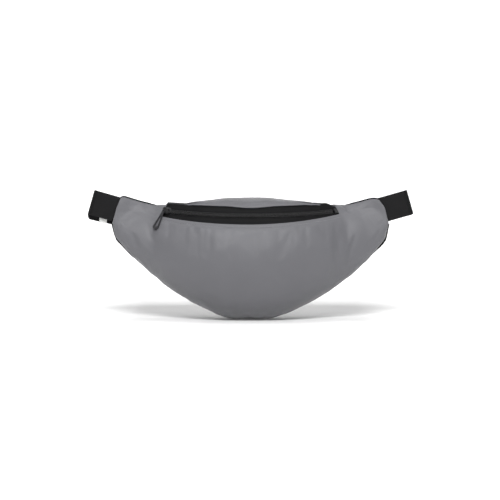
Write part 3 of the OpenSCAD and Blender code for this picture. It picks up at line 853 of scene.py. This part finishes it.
def top_sheet(a, v):
    t = np.abs(a) / ZIP_ANGLE
    tuck = 2.1 * np.where(a < 0, smooth((t - 0.64) / 0.14), smooth((t - 0.74) / 0.12))
    low = np.where(a > 0, 1.3 * smooth((t - 0.6) / 0.15) * smooth((0.93 - t) / 0.06), 0)
    inside = np.clip(a, -LIP_END, LIP_END)
    start = -col(low) * zip_up(a) + lip(inside, 1) + zip_point(a, 0 * a) - zip_point(inside, 0 * a)
    start = start - col(tuck) * zip_out(a)
    end = top_seam(TOP_U * a / LIP_END) - np.array([0, 0.9, 0]) - col(0.4 * tuck) * UPRIGHT
    reach = (end[..., 1:2] - start[..., 1:2]) / 2.5
    back = np.concatenate([0 * reach, reach, -0.12 * reach], -1)
    ending = col(smooth((t - 0.5) / 0.4))
    rise = lerp(0.62 * zip_up(a), np.array([0, 0.6, 0.0]), ending) * reach
    return bezier([start, start + rise, end - back, end], col(v))


top = front_grid(ta, tv, top_sheet)
tn = normals_of(top)
ds = row_lengths(top)
far = ds[:, -1:] - ds
along = np.stack([top[..., 0], 0 * top[..., 0], 0 * top[..., 0]], -1)
pleat = wobble(along, 0.17, 11.3, 3)
d = -0.22 * np.exp(-(((ds - TOP_STITCH) / 1.0) ** 2))
d = d + (0.2 + 0.5 * pleat) * np.exp(-(((ds - 9) / 4.5) ** 2)) * smooth((ds - TOP_STITCH) / 3)
lump = 0.8 * wobble(top, 0.03, 2.2, 2) * smooth(ds / 8) * smooth(far / 8)
d += lump + 0.4 * pleat * np.exp(-far / 7) * smooth(far / 2)
d *= smooth((TOP_A - np.abs(ta)) / math.radians(3))[:, None] * smooth(ds / 2)
top = top + d[..., None] * tn
top_hem = turned(top[:, 0], -zip_up(ta), zip_out(ta), under=3.5)
# the back edge rolls over a small radius and goes down inside
back_edge = top[:, -1]
roll = [back_edge]
for turn in map(math.radians, (30, 60, 90)):
    roll.append(back_edge + np.array([0, 0.9 * math.sin(turn), -0.9 * (1 - math.cos(turn))]))
roll.append(back_edge + np.array([0, 0.9, -4]))
top_grids = [top, top_hem[:, ::-1], np.stack(roll, 1)]
top_obj = sheet_object("top_panel_cloth", top_grids, relax=1)
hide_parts("top_panel")

# -------------------- back panel

bu = np.linspace(-1, 1, 141)
bv = np.concatenate([np.linspace(0, 0.06, 7)[:-1], np.linspace(0.06, 0.94, 43), np.linspace(0.94, 1, 7)[1:]])


def back_face(u, v):
    # the back shows a little below the front in patches, and as a dark edge on each wing
    patch = smooth((wobble(np.stack([u * WING_X, 0 * u, 0 * u], -1), 0.06, 2.7, 2) - 0.05) / 0.25)
    peek = 0.9 * patch + 0.5 * smooth((np.abs(u) - 0.45) / 0.2)
    on_wing = smooth((np.abs(u) - 0.8 - 0.05 * (u > 0)) / 0.05) * smooth((0.985 - np.abs(u)) / 0.04)
    peek = peek + 2.6 * on_wing
    low, high = bottom_seam(u), top_seam(u)
    outward = 1.4 * smooth((u - 0.89) / 0.03) * smooth((0.995 - u) / 0.02)
    low = low + np.stack([outward, 0 * u + 1.2, -np.minimum(peek, low[..., 2])], -1)
    high = high + np.stack([0 * u, 0 * u + 1.2, 1.5 * smooth((np.abs(u) - 0.74) / 0.04) - round_off(u)], -1)
    p = lerp(low, high, col(v))
    p[..., 1] += 5 * (1 - u * u) * np.sin(np.pi * v)
    return p


near = front_grid(bu, bv, back_face)
low = row_lengths(near)
side_gap = (1 - np.abs(bu))[:, None] * WING_X
rim_d = np.minimum(np.minimum(low, low[:, -1:] - low), side_gap)
body_t = 2.1 * np.sqrt(np.clip(1 - (1 - np.clip(rim_d / 2.2, 0, 1)) ** 2, 0.02, 1))
quilt = -0.5 * np.exp(-(((rim_d - 6) / 1.0) ** 2)) + 0.5 * smooth((rim_d - 6) / 10)
puff = 0.9 * wobble(near, 0.025, 7.7, 3) * smooth(rim_d / 18)
away = near + np.stack([0 * body_t, body_t + quilt + puff, 0 * body_t], -1)
v, f, uv = two_sided(near, away)
back_obj = make("back_panel_cloth", v, f, [backing], uvs=uv)
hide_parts("back_panel")
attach(back_obj, "bag")

# -------------------- bound seam

su = np.linspace(-0.995, 0.995, 240)
seam = bottom_seam(su)
seam[:, 2] += 1.5 - 1.0 * np.minimum(1, seam[:, 2] / 18)
seam[:, 1] += 0.1 + 0.25 * wobble(seam, 0.08, 4.4, 2)
parts = [tube(seam, (1.35, 1.5), 12, up=(0, 1, 0))]
for side in (-1, 1):
    wu = side * np.linspace(TOP_U * 1.02, 0.995, 60)
    lowered = round_off(wu) + 1.1 * smooth((0.76 - np.abs(wu)) / 0.06)
    s = top_seam(wu) + np.array([0, 0.1, -0.35]) - col(lowered) * UPRIGHT
    parts.append(tube(s, (1.2, 1.4), 12, up=(0, 1, 0)))
v, f, uv = merge(parts)
edge_obj = make("seam_binding", v, f, [binding], uvs=uv)
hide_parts("edge_binding")
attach(edge_obj, "bag")

# -------------------- zip


def zip_band(name, side, half):
    """One side's woven tape, from the middle of the zip to the lip, with ribs along it."""
    A, T = np.meshgrid(np.linspace(-LIP_END, LIP_END, 301), np.linspace(0, 1, 15), indexing="ij")
    from_middle = 0.55
    P = lerp(from_middle, 0 * A + half(A), T) * side
    if side < 0:
        P = P[:, ::-1]
    uneven = wobble(np.stack([np.degrees(A) * 3.6, P, 0 * P], -1), 0.06, 8.8 + side, 2)
    Q = 0.3 + 0.12 * uneven + 0.09 * np.cos(2 * np.pi * P / 1.6)
    v, f, uv = solid_sheet(zip_point(A, P, Q), CLOTH_T)
    return make(name, v, f, [tape_mat], uvs=uv)


SIDES = ((-1, "lower"), (1, "upper"))
tapes = []
for side, tag in SIDES:
    tape = zip_band(f"zip_tape_{tag}_cloth", side, lower_half if side < 0 else upper_half)
    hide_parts(f"zip_tape_{tag}")
    tapes.append(tape)


def coil(name, side, a0, a1):
    pitch, wire, steps = 1.3, 0.34, 12
    turns = int(ZIP_R * (a1 - a0) / pitch)
    th = np.linspace(0, 2 * np.pi * turns, turns * steps + 1)
    a = a0 + (a1 - a0) * th / th[-1] + (0.5 * pitch / ZIP_R if side > 0 else 0)
    # each turn's head crosses the middle and locks between its neighbours from the other side
    P = side * (1.2 + 1.75 * np.cos(th))
    Q = 1.12 + 0.62 * np.sin(th)
    path = zip_point(a, P, Q)
    v, f, uv = tube(path, (wire, wire), 6, up=np.broadcast_to(ZIP_AXIS, path.shape))
    return make(name, v, f, [coil_mat], uvs=uv)


coils = []
for side, tag in SIDES:
    c = coil(f"zip_coil_{tag}_teeth", side, -ZIP_ANGLE + math.radians(1.5), ZIP_ANGLE - math.radians(2.6))
    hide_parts(f"zip_coil_{tag}")
    coils.append(c)

# two rows of thread that sew each coil to its tape
rows_thread = []
for side, tag in SIDES:
    a = np.linspace(-ZIP_ANGLE + math.radians(1.6), ZIP_ANGLE - math.radians(2.7), 400)
    ps = zip_point(a, np.full_like(a, side * 3.5), np.full_like(a, 0.42))
    v, f, uv = stitches(ps, zip_out(a), pitch=1.3, long=1.05, wide=0.16, lift=0.02)
    o = make(f"zip_coil_thread_{tag}", v, f, [thread_black], uvs=uv)
    rows_thread.append(o)

# topstitching along both lips
lip_rows = []


def row_at(distance, length, values):
    """The point at a distance along each row of a grid."""
    return np.stack([along_path(distance, s, row) for s, row in zip(length, values)])[:, 0]


body_n = normals_of(body)
for side, tag in SIDES:
    if side < 0:
        g, nn = body[core, ::-1], body_n[core, ::-1]
        distance, length = [FRONT_STITCH], row_lengths(g)
    else:
        inner = slice(8, len(ta) - 8)
        g, nn = top[inner], tn[inner]
        distance, length = [TOP_STITCH], ds[inner]
    path, nrm = row_at(distance, length, g), row_at(distance, length, nn)
    v, f, uv = stitches(path, nrm, pitch=3.1, long=2.5, wide=0.27, lift=0.08)
    o = make(f"lip_topstitch_{tag}", v, f, [thread_grey], uvs=uv)
    lip_rows.append(o)

for o in (tapes[0], coils[0], rows_thread[0], lip_rows[0]):
    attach(o, "bag")
for o in (top_obj, tapes[1], coils[1], rows_thread[1], lip_rows[1]):
    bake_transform(o)

# -------------------- belt webbing


def wing_out(side):
    return np.array([side * math.cos(RISE), 0, math.sin(RISE)])


def wing_width(side):
    return np.array([-side * math.sin(RISE), 0, math.cos(RISE)])


def wing_mid(side):
    middle_z = float(bottom_z(WING_X) + top_z(WING_TOP_X)) / 2
    return np.array([side * (WING_X + WING_TOP_X) / 2, TIP_Y, middle_z])


MID_X = wing_mid(1)[0]
LAYER = (STRAP_T + 0.15) / 2
BAR_R = 1.5
SOCKET_X, MIDDLE_BAR_X, PLUG_X = -36, 17.5, 27
LEFT_STRAIGHT, RIGHT_STRAIGHT = -62, 97
LOOP_R = BAR_R + 0.15 + STRAP_T / 2
TAIL_Y = -LOOP_R
LOAD_Y = TAIL_Y - 2 * LAYER


def strap_out(side, drop, end):
    """Centre line and width direction, from inside the wing and round the fold to the run at the buckle."""
    reach = (FOLD_X + 0.14 * side - STRAP_T / 2 - MID_X) / math.cos(RISE) - FOLD_R
    pts, wid = [], []
    for s in np.linspace(-STUB_IN, reach, 22)[:-1]:
        p = wing_mid(side) + s * wing_out(side)
        p[1] = float(seam_y(min(1, abs(p[0]) / MID_X), (BOTTOM_Y + TOP_Y) / 2))
        pts.append(p)
        wid.append(wing_width(side))
    centre = wing_mid(side) + reach * wing_out(side) + np.array([0, FOLD_R, 0])
    for k in np.linspace(0, 1, 37):
        a = FOLD_TURN * k
        turn = FOLD_R * (math.sin(a) * wing_out(side) - np.array([0, math.cos(a), 0]))
        pts.append(centre + turn - drop * float(smooth(2 * k - 1)) * wing_width(side))
        wid.append(wing_width(side))
    start = pts[-1]
    way = math.cos(FOLD_TURN) * wing_out(side) + np.array([0, math.sin(FOLD_TURN), 0])
    r = np.linalg.norm(end - start) / 2.6
    handles = [start, start + way * r, end + np.array([side * r, 0, 0]), end]
    run = [bezier(handles, t) for t in np.linspace(0, 1, 65)[1:]]
    run_t = unit(np.gradient(np.array([pts[-1]] + run), axis=0))[1:]
    pts += run
    wid += [unit(np.array([side * t[2], 0, -side * t[0]])) for t in run_t]
    return np.array(pts), np.array(wid)


def arc(cx, cy, r, a0, a1, n):
    t = np.radians(np.linspace(a0, a1, n))
    return np.stack([cx + r * np.cos(t), BELT_Y + cy + r * np.sin(t), np.full(n, BELT_Z)], 1)


def ribbon(name, path, width_dir):
    """Woven webbing along a path: rounded selvages, lengthwise ribs and a true thickness."""
    across, ribs, step = 31, 0.07, 1.1
    length = lengths(path)
    s = np.linspace(0, length[-1], int(length[-1] / step) + 2)
    P = along_path(s, length, path)
    for _ in range(2):
        P[1:-1] = 0.25 * P[:-2] + 0.5 * P[1:-1] + 0.25 * P[2:]
    W = unit(along_path(s, length, width_dir))
    N = unit(np.cross(unit(np.gradient(P, axis=0)), W))
    x = np.linspace(-1, 1, across)
    half = STRAP_T / 2 * (1 - 0.55 * np.abs(x) ** 14) * np.where(np.abs(x) > 0.999, 0.55, 1)
    half = half + ribs * (np.cos(np.pi * 13 * x) - 1) * 0.5
    half += 0.1 * np.exp(-(((np.abs(x) - 0.94) / 0.03) ** 2))
    half = np.minimum(half, STRAP_T / 2 + 0.05)
    wide = (x * STRAP_W / 2)[None, :, None] * W[:, None]
    top_side = P[:, None] + wide + half[None, :, None] * N[:, None]
    low_side = P[:, None] + wide[:, ::-1] - half[::-1][None, :, None] * N[:, None]
    ring = np.concatenate([top_side, low_side], 1)
    k, m = ring.shape[:2]
    faces = [f for i in range(k - 1) for f in ring_faces(i, i + 1, m)]
    for i in (0, k - 1):
        for j in range(across - 1):
            quad = (i * m + j, i * m + j + 1, i * m + m - 2 - j, i * m + m - 1 - j)
            faces.append(quad[::-1] if i == 0 else quad)
    u = np.concatenate([x, x[::-1]]) * STRAP_W / 2
    uv = np.stack(np.broadcast_arrays(u[None, :], s[:, None]), -1).reshape(-1, 2)
    return face_outward(make(name, ring.reshape(-1, 3), faces, [webbing], uvs=uv))


out_l, wid_l = strap_out(-1, LEFT_DROP, np.array([LEFT_STRAIGHT, BELT_Y - LAYER, BELT_Z]))
bar_x = SOCKET_X + BAR_R
loop_l = np.concatenate([
    [[bar_x - 9, BELT_Y - LAYER, BELT_Z], [bar_x - 4, BELT_Y - LOOP_R, BELT_Z]],
    arc(bar_x, 0, LOOP_R, -90, 90, 17),
    [[bar_x - 4, BELT_Y + LOOP_R, BELT_Z], [bar_x - 9, BELT_Y + LAYER, BELT_Z]],
    [[LEFT_STRAIGHT + 2, BELT_Y + LAYER, BELT_Z]],
])
wid_loop = np.broadcast_to(UPRIGHT, loop_l.shape)
strap_l = ribbon("strap_left_webbing", np.concatenate([out_l, loop_l]), np.concatenate([wid_l, wid_loop]))

out_r, wid_r = strap_out(1, RIGHT_DROP, np.array([RIGHT_STRAIGHT, BELT_Y + LOAD_Y, BELT_Z]))
mid_bar, end_bar = MIDDLE_BAR_X, PLUG_X - BAR_R
thread_r = np.concatenate([
    [[end_bar, BELT_Y + LOAD_Y, BELT_Z], [mid_bar, BELT_Y + LOAD_Y, BELT_Z]],
    arc(mid_bar, LOAD_Y + LOOP_R, LOOP_R, -110, -180, 7),
    arc(mid_bar, 0, LOOP_R, 180, 0, 17),
    arc(mid_bar + 2 * LOOP_R + 0.4, TAIL_Y + 1.2, 1.2, 205, 270, 5),
    [[end_bar + 4, BELT_Y + TAIL_Y, BELT_Z]],
])
t_r = unit(np.gradient(out_r, axis=0))
n_r = unit(np.cross(t_r, wid_r))
back_n = 33  # rows of the run that the free end follows
tail = (out_r + 2 * LAYER * n_r)[: -back_n - 1 : -1]
tail[0] = [RIGHT_STRAIGHT, BELT_Y + TAIL_Y, BELT_Z]
wid_thread = np.broadcast_to(UPRIGHT, thread_r.shape)
strap_r = ribbon(
    "strap_right_webbing", np.concatenate([out_r, thread_r, tail]),
    np.concatenate([wid_r, wid_thread, wid_r[: -back_n - 1 : -1]])
)
for o, node in ((strap_l, "strap_left"), (strap_r, "strap_right")):
    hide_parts(node)
    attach(o, "bag")

# -------------------- keeper, label and moulded parts


def loop_band(name, centre, ry, rz, w, t, mat):
    """A soft woven loop round the belt, its faces along X."""
    th = np.linspace(0, 2 * np.pi, 120, endpoint=False)
    # a rounded box: sharp at the webbing's edges, flat along its faces
    e = 0.22
    y = ry * np.sign(np.cos(th)) * np.abs(np.cos(th)) ** e
    z = rz * np.sign(np.sin(th)) * np.abs(np.sin(th)) ** e
    ring = resample(np.stack([0 * y, y, z], 1)[list(range(120)) + [0]], 0.7)[:-1]
    for _ in range(3):
        ring = 0.25 * np.roll(ring, 1, 0) + 0.5 * ring + 0.25 * np.roll(ring, -1, 0)
    tang = unit(np.roll(ring, -1, 0) - np.roll(ring, 1, 0))
    norm = np.cross(tang, [1.0, 0, 0])
    norm *= np.sign((norm * ring).sum(1).mean())
    xs = np.linspace(-1, 1, 17)
    half = t / 2 * (1 - 0.5 * np.abs(xs) ** 10) + 0.06 * (np.cos(np.pi * 7 * xs) - 1) * 0.5
    gather = 0.12 * wobble(ring, 0.4, 6.1, 2)
    wide = xs[None, :, None] * np.array([w / 2, 0, 0])
    outer = ring[:, None] + wide + (half[None, :] + gather[:, None])[..., None] * norm[:, None]
    inner = ring[:, None] + wide[:, ::-1] - half[None, ::-1, None] * norm[:, None]
    grid = np.concatenate([outer, inner], 1) + np.array(centre)
    k, m = grid.shape[:2]
    faces = [f for i in range(k) for f in ring_faces(i, (i + 1) % k, m)]
    u = np.concatenate([xs, xs[::-1]]) * w / 2
    uv = np.stack(np.broadcast_arrays(u[None, :], lengths(ring)[:, None]), -1).reshape(-1, 2)
    return face_outward(make(name, grid.reshape(-1, 3), faces, [mat], uvs=uv))


KEEPER_X = 82
keeper_at = (KEEPER_X, BELT_Y + (TAIL_Y + LOAD_Y) / 2, BELT_Z)
inner_y = 4 * LAYER + 1.2
keeper = loop_band("strap_keeper_loop", keeper_at, inner_y / 2 + 0.75, STRAP_W / 2 + 1.65, 9, 1.4, elastic)
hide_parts("strap_keeper")
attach(keeper, "keeper")

# the label, bent a little both ways
LU, LV = np.meshgrid(np.linspace(-1, 1, 25), np.linspace(0, 1, 25), indexing="ij")
lx = -175.5 + 0.5 * LV + 4.5 * LU
lz = 116 - 0.75 * (LU + 1) * (1 - LV) + (13 - 0.5 * LU) * LV - 0.2
ly = TIP_Y + 3.7 + 0.9 * (LU * 0.5) ** 2 * (1 - LV) - 0.35 * np.sin(2.5 * LV) + 0.3 * LU * (1 - LV)
v, f, uv = solid_sheet(np.stack([lx, ly, lz], -1), 0.35)
label = make("care_label_cloth", v, f, [label_mat], uvs=uv)
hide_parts("care_label")
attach(label, "bag")

HARD = {
    "zip_stop_lower": metal_mat, "zip_stop_upper": metal_mat, "zip_end_stop": metal_mat,
    "slider_body": metal_mat, "slider_crown": metal_mat, "pull_ring": metal_mat, "pull_tab": pull_mat,
    "buckle_socket": plastic, "buckle_plug": plastic,
    "buckle_prong_upper": plastic, "buckle_prong_lower": plastic,
}
# radius of the rounded edges in mm, where it isn't the buckle's 0.6
EDGE = {
    "slider_body": 0.25, "slider_crown": 0.2, "pull_tab": 0.28, "pull_ring": 0.0,
    "zip_end_stop": 0.15, "zip_stop_lower": 0.12, "zip_stop_upper": 0.12,
}
for name, mat in HARD.items():
    obj = nodes[name]
    obj.data.materials.clear()
    obj.data.materials.append(mat)
    radius = EDGE.get(name, 0.6)
    if radius:
        mod = obj.modifiers.new("Rounded_edges", "BEVEL")
        mod.width = radius * MM
        mod.segments = 3
        mod.limit_method = "ANGLE"
        mod.angle_limit = math.radians(32)
        mod.harden_normals = True

# -------------------- floor and light

FLOOR_FRONT, FLOOR_BACK, FLOOR_HALF, COVE_R, WALL_TOP = -1.9, 3.0, 2.6, 0.6, 3.2
COVE = [math.radians(90 * k / 12) for k in range(13)]
profile = [(FLOOR_FRONT, 0.0)]
profile += [(FLOOR_BACK + COVE_R * math.sin(a), COVE_R - COVE_R * math.cos(a)) for a in COVE]
profile.append((FLOOR_BACK + COVE_R, WALL_TOP))
floor_v = [(x / MM, y / MM, z / MM) for y, z in profile for x in (-FLOOR_HALF, FLOOR_HALF)]
floor_f = [(2 * i, 2 * i + 1, 2 * i + 3, 2 * i + 2) for i in range(len(profile) - 1)]
floor_mat, floor_tree, floor_bsdf = node_material("White_Floor_Paint")
floor_bsdf.inputs["Base Color"].default_value = (0.86, 0.86, 0.86, 1)
floor_bsdf.inputs["Roughness"].default_value = 0.75
floor_bsdf.inputs["Emission Color"].default_value = (1, 1, 1, 1)
# the glow keeps the backdrop white at the back, and shortens the ends of the shadow at the sides
place = floor_tree.nodes.new("ShaderNodeSeparateXYZ")
floor_tree.links.new(add(floor_tree, "ShaderNodeTexCoord").outputs["Object"], place.inputs[0])


def glow(distance, start, full, low, high):
    fade = floor_tree.nodes.new("ShaderNodeMapRange")
    fade.interpolation_type = "SMOOTHSTEP"
    for key, value in (("From Min", start), ("From Max", full), ("To Min", low), ("To Max", high)):
        fade.inputs[key].default_value = value
    floor_tree.links.new(distance, fade.inputs["Value"])
    return fade.outputs["Result"]


sideways = math_node(floor_tree, "ABSOLUTE", place.outputs["X"])
at_back = glow(place.outputs["Y"], start=0.2, full=0.6, low=0.08, high=0.85)
at_sides = glow(sideways, start=0.09, full=0.26, low=0, high=0.5)
backdrop_glow = math_node(floor_tree, "MAXIMUM", at_back, at_sides)
floor_tree.links.new(backdrop_glow, floor_bsdf.inputs["Emission Strength"])
floor = make("Floor", floor_v, floor_f, [floor_mat])


def area_light(name, at, target, size, power):
    data = bpy.data.lights.new(name, "AREA")
    data.shape = "RECTANGLE"
    data.size, data.size_y = size
    data.energy = power
    obj = bpy.data.objects.new(name, data)
    scene.collection.objects.link(obj)
    obj.location = at
    look(obj, target)


area_light("Key_softbox", (0.0, -1.6, 1.4), (0, 0, 0.07), (1.0, 0.55), 46.5)
area_light("Overhead_softbox", (0.0, -0.1, 1.4), (0, 0, 0.05), (1.3, 0.8), 8.5)
area_light("Left_fill", (-1.5, -0.5, 0.6), (0, 0, 0.08), (0.9, 0.9), 0.1)
area_light("Right_fill", (1.5, -0.5, 0.6), (0, 0, 0.08), (0.9, 0.9), 0.15)
area_light("Backdrop_wash", (0.0, 0.35, 1.9), (0, 1.05, 0.5), (2.2, 0.6), 3)

world = bpy.data.worlds.new("Studio")
scene.world = world
world.use_nodes = True
background = world.node_tree.nodes["Background"]
background.inputs["Color"].default_value = (1, 1, 1, 1)
background.inputs["Strength"].default_value = 0.06
scene.view_settings.view_transform = "Standard"
scene.view_settings.look = "None"
